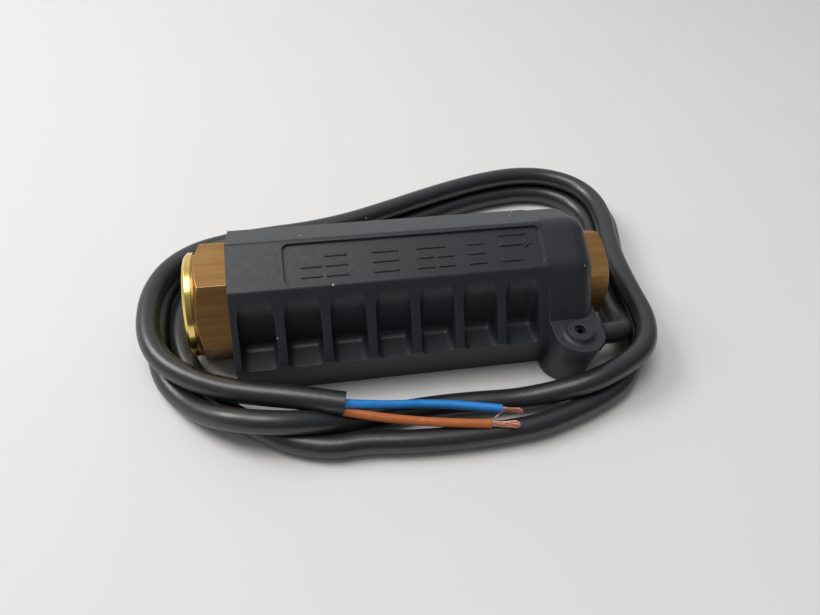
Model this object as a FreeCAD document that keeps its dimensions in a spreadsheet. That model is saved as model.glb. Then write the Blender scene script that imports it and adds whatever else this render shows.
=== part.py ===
"""Inline flow switch: a spring-loaded piston with a ring magnet in a brass
through-tube, and a reed contact moulded beside it in a ribbed housing.

Frame: millimetres, +X along the flow, +Z up, the label, the cable exit and
the lug towards -Y. The origin lies on the underside, below the flow axis, at the
middle of the housing's length.
"""
import FreeCAD, Part
import math
import os
import re
import Sketcher

Vector = FreeCAD.Vector
Rotation = FreeCAD.Rotation
Placement = FreeCAD.Placement

# ---------------------------------------------------------------- driving sizes
SIZES = [
    ("axis_height", 14, "flow axis above the underside"),
    # housing section
    ("housing_length", 92, "moulded housing along the flow"),
    ("crown_height", 33.3, "top edge where the two roof faces meet"),
    ("ridge_reach", 11.5, "roof ridge from the middle plane"),
    ("ridge_height", 28, "roof ridge above the underside"),
    ("widest_reach", 22, "skirt's widest line from the middle plane"),
    ("widest_height", 12.5, "skirt's widest line above the underside"),
    ("foot_reach", 19.2, "skirt's foot from the middle plane"),
    ("crown_radius", 1.5, "rounding of the crown"),
    ("ridge_radius", 1.2, "rounding of the ridges"),
    ("nose_length", 13, "smooth part at the outlet end, without pockets"),
    ("nose_step", 0.3, "how far the nose's sides stand proud of the ribbed sides"),
    ("nose_crown_radius", 6, "rounding of the crown on the nose"),
    ("nose_ridge_radius", 7, "rounding of the ridges on the nose"),
    ("hood_radius", 5, "rounding round the outlet end"),
    # pockets between the ribs
    ("pocket_count", 7, "pockets on each side"),
    ("pocket_pitch", 11, "from one rib to the next"),
    ("rib_thickness", 2.2, "wall between two pockets"),
    ("end_wall", 1.6, "wall before the first pocket"),
    ("pocket_top", 25, "height where a pocket's inner wall meets the housing's side"),
    ("pocket_run_out", 2.6, "how far from there the two blend"),
    ("pocket_foot_reach", 14.2, "pocket's inner wall at its floor"),
    ("pocket_floor", 11.3, "pocket floor above the underside"),
    ("pocket_radius", 1.8, "hollow rounding inside each pocket"),
    # label field
    ("label_length", 65, "recessed field along the flow"),
    ("label_depth", 0.7, "how deep the field lies"),
    ("label_margin", 1, "from the field to the crown and to the ridge"),
    ("label_radius", 1.6, "corner rounding of the field"),
    # lug at the outlet end
    ("ledge_height", 16.3, "top of the lug above the underside"),
    ("ledge_reach", 30.5, "front of the lug's top from the middle plane"),
    ("lug_foot_reach", 27, "front of the lug's foot from the middle plane"),
    ("lug_root_reach", 12, "how far inside the housing the lug starts"),
    ("boss_reach", 24.3, "screw boss from the middle plane"),
    ("boss_inset", 6.7, "screw boss from the outlet end"),
    ("boss_radius", 3.3, "screw boss at its top"),
    ("boss_height", 1.4, "screw boss above the lug, and its flare"),
    ("clamp_screw_radius", 1.5, "headless clamp screw"),
    ("clamp_screw_length", 11, "headless clamp screw"),
    ("clamp_screw_sink", 0.6, "screw top below the boss top"),
    ("clamp_socket_width", 1.5, "hexagon socket across flats"),
    ("clamp_socket_depth", 1.6, "hexagon socket"),
    # reed chamber and base cover
    ("chamber_start", 36, "chamber's inlet end from the middle of the housing"),
    ("chamber_end", 37, "chamber's outlet end from the middle of the housing"),
    ("chamber_inner_reach", 12.2, "chamber wall next to the tube"),
    ("chamber_width", 4, "chamber across"),
    ("chamber_top", 10, "chamber ceiling above the underside"),
    ("channel_start", 34, "cross channel to the cable's end"),
    ("channel_end", 38.5, "cross channel to the cable's end"),
    ("channel_bottom", 6.6, "cross channel above the underside"),
    ("channel_top", 12.9, "cross channel above the underside"),
    ("channel_reach", 21.2, "cross channel from the middle plane"),
    ("cover_length", 88, "base cover along the flow"),
    ("cover_width", 34, "base cover across"),
    ("cover_thickness", 1.6, "base cover"),
    ("cover_corner", 3, "corner rounding of the base cover"),
    ("cover_gap", 0.15, "play round the base cover"),
    ("cover_screw_along", 41, "cover screws from the middle of the housing"),
    ("cover_screw_across", 13.5, "cover screws from the middle plane"),
    ("cover_screw_head", 2.3, "cover screw's countersunk head, radius"),
    ("cover_screw_cone", 1.2, "cover screw's head height"),
    ("cover_screw_shank", 1.1, "cover screw's shank radius"),
    ("cover_screw_length", 7.5, "cover screw over all"),
    ("cross_slot_width", 0.6, "cross slot of a cover screw"),
    ("cross_slot_depth", 0.8, "cross slot of a cover screw"),
    # brass flow body
    ("tube_radius", 11, "tube through the housing"),
    ("tube_fit", 0.05, "play of the tube in the housing"),
    ("inlet_hex_width", 27, "inlet hexagon across flats"),
    ("inlet_hex_length", 8.2, "inlet hexagon"),
    ("inlet_hex_bevel", 13.4, "radius where the inlet hexagon's bevel starts"),
    ("collar_radius", 13.3, "polished collar before the hexagon"),
    ("collar_length", 2.8, "collar and its neck"),
    ("collar_bevel", 0.7, "bevel of the collar"),
    ("neck_radius", 12.7, "neck between collar and hexagon"),
    ("neck_length", 0.7, "neck between collar and hexagon"),
    ("port_radius", 7.475, "core of the three-eighths inch pipe thread"),
    ("port_depth", 12, "threaded length of each port"),
    ("port_mouth", 8.5, "countersunk mouth of each port, radius"),
    ("throat_radius", 5.5, "inlet throat"),
    ("throat_length", 5, "inlet throat"),
    ("bore_radius", 8, "piston bore"),
    ("outlet_hex_width", 22, "outlet hexagon across flats"),
    ("outlet_hex_length", 6, "outlet hexagon"),
    ("outlet_hex_turn", 37, "turn of the outlet hexagon as tightened"),
    ("outlet_hex_bevel", 11.2, "radius where the outlet hexagon's bevel starts"),
    ("spigot_radius", 9.25, "outlet fitting's screwed spigot"),
    ("spigot_length", 15, "outlet fitting's screwed spigot"),
    ("outlet_bore", 6.5, "outlet fitting behind its thread"),
    ("seal_thickness", 1.2, "outlet seal ring, squeezed"),
    # seat, piston, magnet
    ("seat_thickness", 1.2, "brass seat ring"),
    ("washer_thickness", 0.8, "rubber washer on the seat ring"),
    ("piston_gap", 0.05, "piston off its washer at rest"),
    ("piston_fit", 0.05, "play of the piston in its bore"),
    ("piston_length", 18, "piston"),
    ("piston_face_radius", 7, "sealing face of the piston"),
    ("piston_face_length", 2.5, "front disc of the piston"),
    ("piston_bore", 4, "lightening bore from behind, radius"),
    ("flute_radius", 2, "water flute in the piston's flank"),
    ("flute_reach", 8.8, "flute's centre from the flow axis"),
    ("magnet_radius", 6, "ring magnet outside"),
    ("magnet_hole", 4, "ring magnet inside"),
    ("magnet_length", 5, "ring magnet"),
    ("magnet_cap_length", 1.5, "cap that holds the magnet"),
    ("piston_travel", 9, "stroke until the piston meets the guide"),
    # spring and its guide
    ("spring_radius", 6.7, "return spring, mean"),
    ("spring_wire", 0.35, "return spring, wire radius"),
    ("spring_turns", 6, "return spring"),
    ("guide_hub_radius", 5.9, "guide tube inside the spring"),
    ("guide_hole", 4.8, "guide tube's bore"),
    ("guide_flange", 2, "guide flange"),
    ("guide_end", 13, "guide flange's back, from the middle of the housing"),
    ("circlip_thickness", 1, "circlip"),
    ("circlip_groove", 8.5, "circlip groove radius"),
    ("circlip_inner", 6.9, "circlip inside"),
    ("circlip_gap", 5, "opening of the circlip"),
    # reed contact
    ("board_start", 26, "carrier board's inlet end, before the middle"),
    ("board_length", 50, "carrier board"),
    ("board_play", 0.2, "carrier board's play at each side in the chamber"),
    ("board_thickness", 1, "carrier board"),
    ("board_height", 5.2, "carrier board's underside"),
    ("reed_length", 14, "reed glass"),
    ("reed_radius", 1.3, "reed glass"),
    ("reed_middle", 12, "reed's middle, before the middle of the housing"),
    ("lead_length", 5, "reed lead outside the glass"),
    ("lead_radius", 0.3, "reed lead"),
    ("sleeve_length", 5, "crimp sleeve on a lead"),
    ("sleeve_radius", 1.3, "crimp sleeve on a lead"),
    # cable
    ("cable_diameter", 5.8, "cable sheath"),
    ("core_diameter", 2.2, "insulated core"),
    ("strand_diameter", 1.5, "bundle of bare copper strands"),
    ("cable_fit", 0.1, "play of the cable in its passage"),
    ("exit_reach", 19.9, "cable exit from the middle plane"),
    ("exit_height", 9.75, "cable exit above the underside"),
    ("grommet_depth", 3, "grommet inside the end wall"),
    ("grommet_radius", 4, "grommet inside the end wall"),
    ("grommet_flange", 4.6, "grommet's flange radius"),
    ("grommet_lip", 1.2, "grommet's flange"),
    ("grommet_nose", 1.3, "grommet's cone outside the flange"),
    ("grommet_tip", 3.5, "grommet's cone at its end, radius"),
]

doc = FreeCAD.newDocument("flow_switch")
sheet = doc.addObject("Spreadsheet::Sheet", "sizes")
for row, (alias, size, note) in enumerate(SIZES, start=1):
    sheet.set(f"A{row}", note)
    sheet.set(f"B{row}", str(size))
    sheet.setAlias(f"B{row}", alias)
doc.recompute()
ALIASES = {alias for alias, size, note in SIZES}
SPRING_STEPS = 12  # straight pieces in one turn of the spring
LEAD_GRIP = 0.6  # share of a reed lead that its crimp sleeve covers


# -------------------------------------------------------------------- helpers
def bound(text):
    """The expression with each size's name pointing at the sheet."""
    def to_cell(word):
        return f"sizes.{word.group(0)}" if word.group(0) in ALIASES else word.group(0)
    return re.sub(r"[a-z_]+", to_cell, str(text))


def value(text):
    """What an expression of sizes comes to, in millimetres or degrees."""
    result = sheet.evalExpression(bound(text))
    return float(getattr(result, "Value", result))


def origin_feature(body, role):
    return next(item for item in body.Origin.OriginFeatures if item.Role == role)


def new_body(name, height=None):
    """A PartDesign body; with a height, its own X axis lies on the flow axis."""
    body = doc.addObject("PartDesign::Body", name)
    body.Label = name
    if height is not None:
        body.setExpression("Placement.Base.z", bound(height))
    return body


def new_sketch(body, name, plane, start="0", across="0"):
    """A sketch on an origin plane, start along its normal, across along its X."""
    sketch = body.newObject("Sketcher::SketchObject", name)
    sketch.AttachmentSupport = [(origin_feature(body, plane), "")]
    sketch.MapMode = "FlatFace"
    sketch.setExpression("AttachmentOffset.Base.z", bound(start))
    sketch.setExpression("AttachmentOffset.Base.x", bound(across))
    return sketch


def hold(sketch, kind, geometry, point, text):
    """Fixes one coordinate of a sketch point to an expression."""
    size = value(text)
    index = sketch.addConstraint(Sketcher.Constraint(kind, -1, 1, geometry, point, size))
    label = f"{kind}_{geometry}_{point}"
    sketch.renameConstraint(index, label)
    sketch.setExpression(f"Constraints.{label}", bound(text))


def closed_outline(sketch, corners):
    """A closed run of straight edges through the corners, each an (x, y) pair."""
    places = [Vector(value(x), value(y), 0) for x, y in corners]
    count = len(places)
    first = sketch.GeometryCount
    for index in range(count):
        end = places[(index + 1) % count]
        sketch.addGeometry(Part.LineSegment(places[index], end), False)
    for index in range(count):
        following = first + (index + 1) % count
        sketch.addConstraint(Sketcher.Constraint("Coincident", first + index, 2, following, 1))
    for index, (x, y) in enumerate(corners):
        hold(sketch, "DistanceX", first + index, 1, x)
        hold(sketch, "DistanceY", first + index, 1, y)


def circle(sketch, x, y, radius):
    centre = Vector(value(x), value(y), 0)
    index = sketch.addGeometry(Part.Circle(centre, Vector(0, 0, 1), value(radius)), False)
    hold(sketch, "DistanceX", index, 3, x)
    hold(sketch, "DistanceY", index, 3, y)
    size = sketch.addConstraint(Sketcher.Constraint("Radius", index, value(radius)))
    sketch.renameConstraint(size, f"Radius_{index}")
    sketch.setExpression(f"Constraints.Radius_{index}", bound(radius))


def hexagon(sketch, width, turn="0"):
    """A regular hexagon about the sketch's origin; turn 0 puts flats level."""
    corner = f"({width}) / sqrt(3)"
    corners = [(f"{corner} * cos({60 * k} + {turn})", f"{corner} * sin({60 * k} + {turn})")
               for k in range(6)]
    closed_outline(sketch, corners)


def pad(body, sketch, name, length):
    feature = body.newObject("PartDesign::Pad", name)
    feature.Profile = sketch
    feature.setExpression("Length", bound(length))
    return feature


def pocket(body, sketch, name, length, reversed_way=False):
    """Cuts against the sketch's normal, or along it with reversed_way."""
    feature = body.newObject("PartDesign::Pocket", name)
    feature.Profile = sketch
    feature.Reversed = reversed_way
    feature.setExpression("Length", bound(length))
    return feature


def turned(body, name, profile, kind="PartDesign::Revolution", plane="XZ_Plane",
           axis="H_Axis", start="0", across="0"):
    """A turned feature from a closed half profile of (along, radius) corners."""
    sketch = new_sketch(body, f"{name}_profile", plane, start, across)
    closed_outline(sketch, profile)
    feature = body.newObject(kind, name)
    feature.Profile = sketch
    feature.ReferenceAxis = (sketch, [axis])
    feature.Angle = 360
    return feature


def edge_names(shape, test):
    return [f"Edge{index}" for index, edge in enumerate(shape.Edges, start=1) if test(edge)]


def rounded(body, feature, name, radius, test, kind="PartDesign::Fillet"):
    """Rounds, or with a chamfer kind bevels, the feature's edges that pass the test."""
    doc.recompute()
    finish = body.newObject(kind, name)
    finish.Base = (feature, edge_names(feature.Shape, test))
    size = "Radius" if kind.endswith("Fillet") else "Size"
    finish.setExpression(size, bound(radius))
    return finish


def near(first, second):
    return abs(first - second) < 1e-4


def middle(edge):
    return edge.valueAt((edge.FirstParameter + edge.LastParameter) / 2)


def runs_along(edge, axis):
    """True for an edge that is parallel to the axis, given as x, y or z."""
    tangent = edge.tangentAt((edge.FirstParameter + edge.LastParameter) / 2)
    return abs(getattr(tangent, axis)) > 0.999


def box(name, low, high):
    """A Part::Box between two corners of three expressions each."""
    solid = doc.addObject("Part::Box", name)
    for size, axis, start, end in zip(("Length", "Width", "Height"), "xyz", low, high):
        solid.setExpression(size, bound(f"({end}) - ({start})"))
        solid.setExpression(f"Placement.Base.{axis}", bound(start))
    return solid


def cylinder(name, place, radius, length, along="z"):
    """A Part::Cylinder from a place of three expressions, upright or along +X."""
    solid = doc.addObject("Part::Cylinder", name)
    if along == "x":
        solid.Placement = Placement(Vector(0, 0, 0), Rotation(Vector(0, 1, 0), 90))
    solid.setExpression("Radius", bound(radius))
    solid.setExpression("Height", bound(length))
    for axis, text in zip("xyz", place):
        solid.setExpression(f"Placement.Base.{axis}", bound(text))
    return solid


def joined(name, solids):
    union = doc.addObject("Part::MultiFuse", name)
    union.Shapes = solids
    return union


def cut(name, base, tool):
    result = doc.addObject("Part::Cut", name)
    result.Label = name
    result.Base = base
    result.Tool = tool
    return result


# Places used by several pieces, from the middle of the housing along the flow.
HOUSING_END = "housing_length / 2"
NOSE_START = f"({HOUSING_END} - nose_length)"
TUBE_START = f"(-{HOUSING_END} - inlet_hex_length - collar_length)"
THROAT_START = f"({TUBE_START} + port_depth)"
SEAT_START = f"({THROAT_START} + throat_length)"
WASHER_START = f"({SEAT_START} + seat_thickness)"
PISTON_START = f"({WASHER_START} + washer_thickness + piston_gap)"
PISTON_END = f"({PISTON_START} + piston_length)"
OUTLET_END = f"({HOUSING_END} + outlet_hex_length)"
SPIGOT_START = f"({HOUSING_END} - spigot_length)"
EXIT_END = f"({HOUSING_END} + grommet_lip + grommet_nose)"
BOSS_ALONG = f"({HOUSING_END} - boss_inset)"
UPPER_WIRE = "(board_height + board_thickness + reed_radius)"
WIRE_REACH = "(chamber_inner_reach + chamber_width / 2)"


# -------------------------------------------------------------------- housing
def section(body, name, start, length, step="0"):
    """The housing's house-shaped section along the flow, its sides out by a step."""
    sketch = new_sketch(body, f"{name}_section", "YZ_Plane", start)
    half = [(f"foot_reach + {step}", "0"), (f"widest_reach + {step}", "widest_height"),
            ("ridge_reach", "ridge_height")]
    front = [(f"-({y})", z) for y, z in half]
    closed_outline(sketch, front + [("0", "crown_height")] + half[::-1])
    return pad(body, sketch, name, length)


def on_crown(edge):
    return runs_along(edge, "x") and near(middle(edge).z, value("crown_height"))


def on_ridge(edge):
    return runs_along(edge, "x") and near(middle(edge).z, value("ridge_height"))


def make_ribbed_block():
    """The part of the housing that carries the ribs, still without its pockets."""
    body = new_body("ribbed_block")
    block = section(body, "block", f"-{HOUSING_END}", "housing_length - nose_length")
    crown = rounded(body, block, "block_crown", "crown_radius", on_crown)
    rounded(body, crown, "block_ridges", "ridge_radius", on_ridge)
    return body


def make_nose():
    """The smooth outlet end, with softer roundings and a rounded hood."""
    body = new_body("nose")
    block = section(body, "nose_block", NOSE_START, "nose_length", "nose_step")
    crown = rounded(body, block, "nose_crown", "nose_crown_radius", on_crown)
    ridges = rounded(body, crown, "nose_ridges", "nose_ridge_radius", on_ridge)

    def round_the_end(edge):
        place = middle(edge)
        return near(place.x, value(HOUSING_END)) and place.z > value("widest_height")
    rounded(body, ridges, "hood", "hood_radius", round_the_end)
    return body


def make_pocket_row(name):
    """One side's row of pockets, as the solids that are taken away."""
    body = new_body(name)
    body.AllowCompound = True
    start = f"(-{HOUSING_END} + end_wall)"
    sketch = new_sketch(body, f"{name}_section", "YZ_Plane", start)
    side_lean = "atan((widest_reach - ridge_reach) / (ridge_height - widest_height))"
    meeting = f"(ridge_reach + tan({side_lean}) * (ridge_height - pocket_top))"
    wall_lean = f"atan((pocket_foot_reach - {meeting}) / (pocket_top - pocket_floor))"
    radius = f"(pocket_run_out / tan(({side_lean} - {wall_lean}) / 2))"
    upper = (f"-({meeting} - pocket_run_out * sin({side_lean}))",
             f"(pocket_top + pocket_run_out * cos({side_lean}))")
    lower = (f"-({meeting} + pocket_run_out * sin({wall_lean}))",
             f"pocket_top - pocket_run_out * cos({wall_lean})")
    centre = (f"{upper[0]} + {radius} * cos({side_lean})", f"{upper[1]} - {radius} * sin({side_lean})")
    outside = "widest_reach + pocket_radius * 3"
    corners = [lower, ("-pocket_foot_reach", "pocket_floor"), (f"-({outside})", "pocket_floor"),
               (f"-({outside})", upper[1]), upper]
    places = [Vector(value(x), value(y), 0) for x, y in corners]
    for index in range(4):
        sketch.addGeometry(Part.LineSegment(places[index], places[index + 1]), False)
    blend = Part.Circle(Vector(value(centre[0]), value(centre[1]), 0), Vector(0, 0, 1), value(radius))
    sketch.addGeometry(Part.ArcOfCircle(blend, math.pi - math.radians(value(side_lean)),
                                        math.pi - math.radians(value(wall_lean))), False)
    for index in range(3):
        sketch.addConstraint(Sketcher.Constraint("Coincident", index, 2, index + 1, 1))
    sketch.addConstraint(Sketcher.Constraint("Coincident", 3, 2, 4, 1))
    sketch.addConstraint(Sketcher.Constraint("Coincident", 4, 2, 0, 1))
    for index in range(4):
        hold(sketch, "DistanceX", index, 1, corners[index][0])
        hold(sketch, "DistanceY", index, 1, corners[index][1])
    hold(sketch, "DistanceX", 3, 2, upper[0])
    hold(sketch, "DistanceY", 3, 2, upper[1])
    hold(sketch, "DistanceX", 4, 3, centre[0])
    block = pad(body, sketch, f"{name}_block", "pocket_pitch - rib_thickness")

    def inside(edge):
        place = middle(edge)
        if runs_along(edge, "x"):
            return near(place.y, -value("pocket_foot_reach")) and near(place.z, value("pocket_floor"))
        return place.z < value(upper[1]) - 1e-3 and place.y > -value(outside) + 1e-3
    hollow = rounded(body, block, f"{name}_rounding", "pocket_radius", inside)
    row = body.newObject("PartDesign::LinearPattern", f"{name}_pattern")
    row.TransformMode = "Whole shape"
    row.Direction = (origin_feature(body, "X_Axis"), [""])
    row.Mode = "Spacing"
    row.setExpression("Offset", bound("pocket_pitch"))
    row.setExpression("Occurrences", bound("pocket_count"))
    body.Tip = row
    return body


def make_lug():
    """The lug at the outlet end: a U in plan that leans in towards its foot."""
    body = new_body("lug")
    half_width = "nose_length / 2"

    def plan(name, height, reach):
        sketch = new_sketch(body, name, "XY_Plane", height)
        centre = f"-({reach}) + {half_width}"
        corners = [(NOSE_START, centre), (NOSE_START, "-lug_root_reach"),
                   (HOUSING_END, "-lug_root_reach"), (HOUSING_END, centre)]
        places = [Vector(value(x), value(y), 0) for x, y in corners]
        for index in range(3):
            sketch.addGeometry(Part.LineSegment(places[index], places[index + 1]), False)
        middle_place = (places[0] + places[3]) / 2
        round_end = Part.Circle(middle_place, Vector(0, 0, 1), value(half_width))
        sketch.addGeometry(Part.ArcOfCircle(round_end, math.pi, 2 * math.pi), False)
        for index in range(2):
            sketch.addConstraint(Sketcher.Constraint("Coincident", index, 2, index + 1, 1))
        sketch.addConstraint(Sketcher.Constraint("Coincident", 3, 1, 0, 1))
        sketch.addConstraint(Sketcher.Constraint("Coincident", 3, 2, 2, 2))
        for geometry, (x, y) in zip((0, 1, 2), corners):
            hold(sketch, "DistanceX", geometry, 1, x)
            hold(sketch, "DistanceY", geometry, 1, y)
        hold(sketch, "DistanceX", 2, 2, corners[3][0])
        hold(sketch, "DistanceY", 2, 2, corners[3][1])
        hold(sketch, "DistanceY", 3, 3, centre)
        return sketch

    foot = plan("lug_foot", "0", "lug_foot_reach")
    top = plan("lug_top", "ledge_height", "ledge_reach")
    trunk = body.newObject("PartDesign::AdditiveLoft", "lug_trunk")
    trunk.Profile = foot
    trunk.Sections = [top]
    trunk.Ruled = True
    # The boss: a short stub whose foot flares out onto the lug.
    sketch = new_sketch(body, "boss_profile", "XZ_Plane", "boss_reach", BOSS_ALONG)
    flare = "boss_radius + boss_height"
    rim = "ledge_height + boss_height"
    corners = [("0", "ledge_height - 1"), (flare, "ledge_height - 1"), (flare, "ledge_height"),
               ("boss_radius", rim), ("0", rim)]
    places = [Vector(value(x), value(y), 0) for x, y in corners]
    for start, end in ((0, 1), (1, 2), (3, 4), (4, 0)):
        sketch.addGeometry(Part.LineSegment(places[start], places[end]), False)
    centre = Vector(value(flare), value(rim), 0)
    sweep = Part.Circle(centre, Vector(0, 0, 1), value("boss_height"))
    sketch.addGeometry(Part.ArcOfCircle(sweep, math.pi, 1.5 * math.pi), False)
    for first, last in ((0, 1), (2, 3)):
        sketch.addConstraint(Sketcher.Constraint("Coincident", first, 2, last, 1))
    sketch.addConstraint(Sketcher.Constraint("Coincident", 3, 2, 0, 1))
    sketch.addConstraint(Sketcher.Constraint("Coincident", 1, 2, 4, 2))
    sketch.addConstraint(Sketcher.Constraint("Coincident", 4, 1, 2, 1))
    for geometry, point, (x, y) in ((0, 1, corners[0]), (0, 2, corners[1]), (1, 2, corners[2]),
                                    (2, 1, corners[3]), (2, 2, corners[4])):
        hold(sketch, "DistanceX", geometry, point, x)
        hold(sketch, "DistanceY", geometry, point, y)
    hold(sketch, "DistanceX", 4, 3, flare)
    boss = body.newObject("PartDesign::Revolution", "boss")
    boss.Profile = sketch
    boss.ReferenceAxis = (sketch, ["V_Axis"])
    boss.Angle = 360
    return body


def make_label_field():
    """The recess on the front roof face, as the solid that is taken away."""
    body = new_body("label_field")
    body.Placement = Placement(Vector(0, 0, 0), Rotation(Vector(1, 0, 0), 10))
    body.setExpression("Placement.Rotation.Angle",
                       bound("atan((crown_height - ridge_height) / ridge_reach)"))
    body.setExpression("Placement.Base.y", bound("-ridge_reach"))
    body.setExpression("Placement.Base.z", bound("ridge_height"))
    sketch = new_sketch(body, "label_outline", "XY_Plane", "-label_depth")
    slant = "sqrt((crown_height - ridge_height)^2 + ridge_reach^2)"
    upper = f"{slant} - label_margin"
    closed_outline(sketch, [("-label_length / 2", "label_margin"), ("label_length / 2", "label_margin"),
                            ("label_length / 2", upper), ("-label_length / 2", upper)])
    block = pad(body, sketch, "label_block", "label_depth + 3")
    rounded(body, block, "label_corners", "label_radius", lambda edge: runs_along(edge, "z"))
    return body


def make_housing():
    """The moulded housing: block, nose and lug, less all its hollows."""
    solid = joined("housing_solid", [make_ribbed_block(), make_nose(), make_lug()])
    front_row = make_pocket_row("front_pockets")
    rear_row = doc.addObject("Part::Mirroring", "rear_pockets")
    rear_row.Source = front_row
    rear_row.Normal = Vector(0, 1, 0)
    tube_hole = cylinder("tube_hole", (f"-{HOUSING_END} - 1", "0", "axis_height"),
                         "tube_radius + tube_fit", "housing_length + 2", "x")
    chamber = box("chamber", ("-chamber_start", "-chamber_inner_reach - chamber_width", "0"),
                  ("chamber_end", "-chamber_inner_reach", "chamber_top"))
    channel = box("cross_channel", ("channel_start", "-channel_reach", "channel_bottom"),
                  ("channel_end", "-chamber_inner_reach", "channel_top"))
    rebate_along = "(cover_length / 2 + cover_gap)"
    rebate_across = "(cover_width / 2 + cover_gap)"
    rebate = box("cover_rebate", (f"-{rebate_along}", f"-{rebate_across}", "-1"),
                 (rebate_along, rebate_across, "cover_thickness"))
    passage = cylinder("cable_passage", ("channel_end - 0.5", "-exit_reach", "exit_height"),
                       "cable_diameter / 2 + cable_fit", f"{HOUSING_END} - channel_end + 1", "x")
    seat = cylinder("grommet_seat", (f"{HOUSING_END} - grommet_depth", "-exit_reach", "exit_height"),
                    "grommet_radius", "grommet_depth + 1", "x")
    screw_top = "(ledge_height + boss_height - clamp_screw_sink)"
    screw_hole = cylinder("clamp_screw_hole",
                          (BOSS_ALONG, "-boss_reach", f"{screw_top} - clamp_screw_length"),
                          "clamp_screw_radius", "clamp_screw_length + clamp_screw_sink + 1")
    pilots = [cylinder(f"pilot_{number}", (along, across, "0"), "cover_screw_shank",
                       "cover_screw_length")
              for number, (along, across) in enumerate(cover_screw_places(), start=1)]
    hollows = joined("housing_hollows", [front_row, rear_row, make_label_field(), tube_hole, chamber,
                                         channel, rebate, passage, seat, screw_hole] + pilots)
    return cut("housing", solid, hollows)


def cover_screw_places():
    """Where the four cover screws stand, as expressions."""
    return [(f"{along}cover_screw_along", f"{across}cover_screw_across")
            for along in ("-", "") for across in ("-", "")]


# ----------------------------------------------------------------- base cover
def make_base_cover():
    body = new_body("cover_plate")
    sketch = new_sketch(body, "cover_outline", "XY_Plane")
    along, across = "cover_length / 2", "cover_width / 2"
    closed_outline(sketch, [(f"-{along}", f"-{across}"), (along, f"-{across}"), (along, across),
                            (f"-{along}", across)])
    plate = pad(body, sketch, "plate", "cover_thickness")
    rounded(body, plate, "plate_corners", "cover_corner", lambda edge: runs_along(edge, "z"))
    holes = []
    for number, (along, across) in enumerate(cover_screw_places(), start=1):
        cone = doc.addObject("Part::Cone", f"countersink_{number}")
        cone.setExpression("Radius1", bound("cover_screw_head"))
        cone.setExpression("Radius2", bound("cover_screw_shank"))
        cone.setExpression("Height", bound("cover_screw_cone"))
        cone.setExpression("Placement.Base.x", bound(along))
        cone.setExpression("Placement.Base.y", bound(across))
        shank = cylinder(f"cover_hole_{number}", (along, across, "0"), "cover_screw_shank",
                         "cover_thickness + 1")
        holes += [cone, shank]
    return cut("base_cover", body, joined("cover_holes", holes))


def make_cover_screws():
    """Four countersunk screws with a cross slot, heads flush with the cover."""
    screws = []
    for number, (along, across) in enumerate(cover_screw_places(), start=1):
        name = f"cover_screw_{number}"
        body = new_body(name)
        body.setExpression("Placement.Base.x", bound(along))
        body.setExpression("Placement.Base.y", bound(across))
        tip = "cover_screw_length - cover_screw_shank"
        turned(body, f"{name}_turned", [("0", "0"), ("cover_screw_head", "0"),
                                        ("cover_screw_shank", "cover_screw_cone"),
                                        ("cover_screw_shank", tip), ("0", "cover_screw_length")],
               axis="V_Axis")
        sketch = new_sketch(body, f"{name}_cross", "XY_Plane")
        arm, flank = "cover_screw_head * 0.6", "cross_slot_width / 2"
        closed_outline(sketch, [(f"-{arm}", f"-{flank}"), (f"-{flank}", f"-{flank}"),
                                (f"-{flank}", f"-{arm}"), (flank, f"-{arm}"), (flank, f"-{flank}"),
                                (arm, f"-{flank}"), (arm, flank), (flank, flank), (flank, arm),
                                (f"-{flank}", arm), (f"-{flank}", flank), (f"-{arm}", flank)])
        pocket(body, sketch, f"{name}_slot", "cross_slot_depth", reversed_way=True)
        screws.append(body)
    return screws


def make_clamp_screw():
    """A headless screw through the boss whose shank nips the cable's flank."""
    top = "(ledge_height + boss_height - clamp_screw_sink)"
    body = new_body("cable_clamp_screw")
    body.setExpression("Placement.Base.x", bound(BOSS_ALONG))
    body.setExpression("Placement.Base.y", bound("-boss_reach"))
    bottom = f"{top} - clamp_screw_length"
    point = "clamp_screw_radius * 0.6"
    turned(body, "clamp_screw_turned", [("0", bottom), (point, bottom),
                                        ("clamp_screw_radius", f"{bottom} + {point}"),
                                        ("clamp_screw_radius", top), ("0", top)], axis="V_Axis")
    sketch = new_sketch(body, "clamp_socket", "XY_Plane", top)
    hexagon(sketch, "clamp_socket_width")
    pocket(body, sketch, "clamp_socket_cut", "clamp_socket_depth")
    return body


# ---------------------------------------------------------------- brass pieces
def bevel_profile(start, inner, width, toward=1):
    """The wedge that a lathe takes off a hexagon's corners at thirty degrees."""
    outer = f"(({width}) / sqrt(3) + 1)"
    depth = f"({outer} - {inner}) * tan(30)"
    return [(start, inner), (start, outer), (f"{start} + {toward} * {depth}", outer)]


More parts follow.
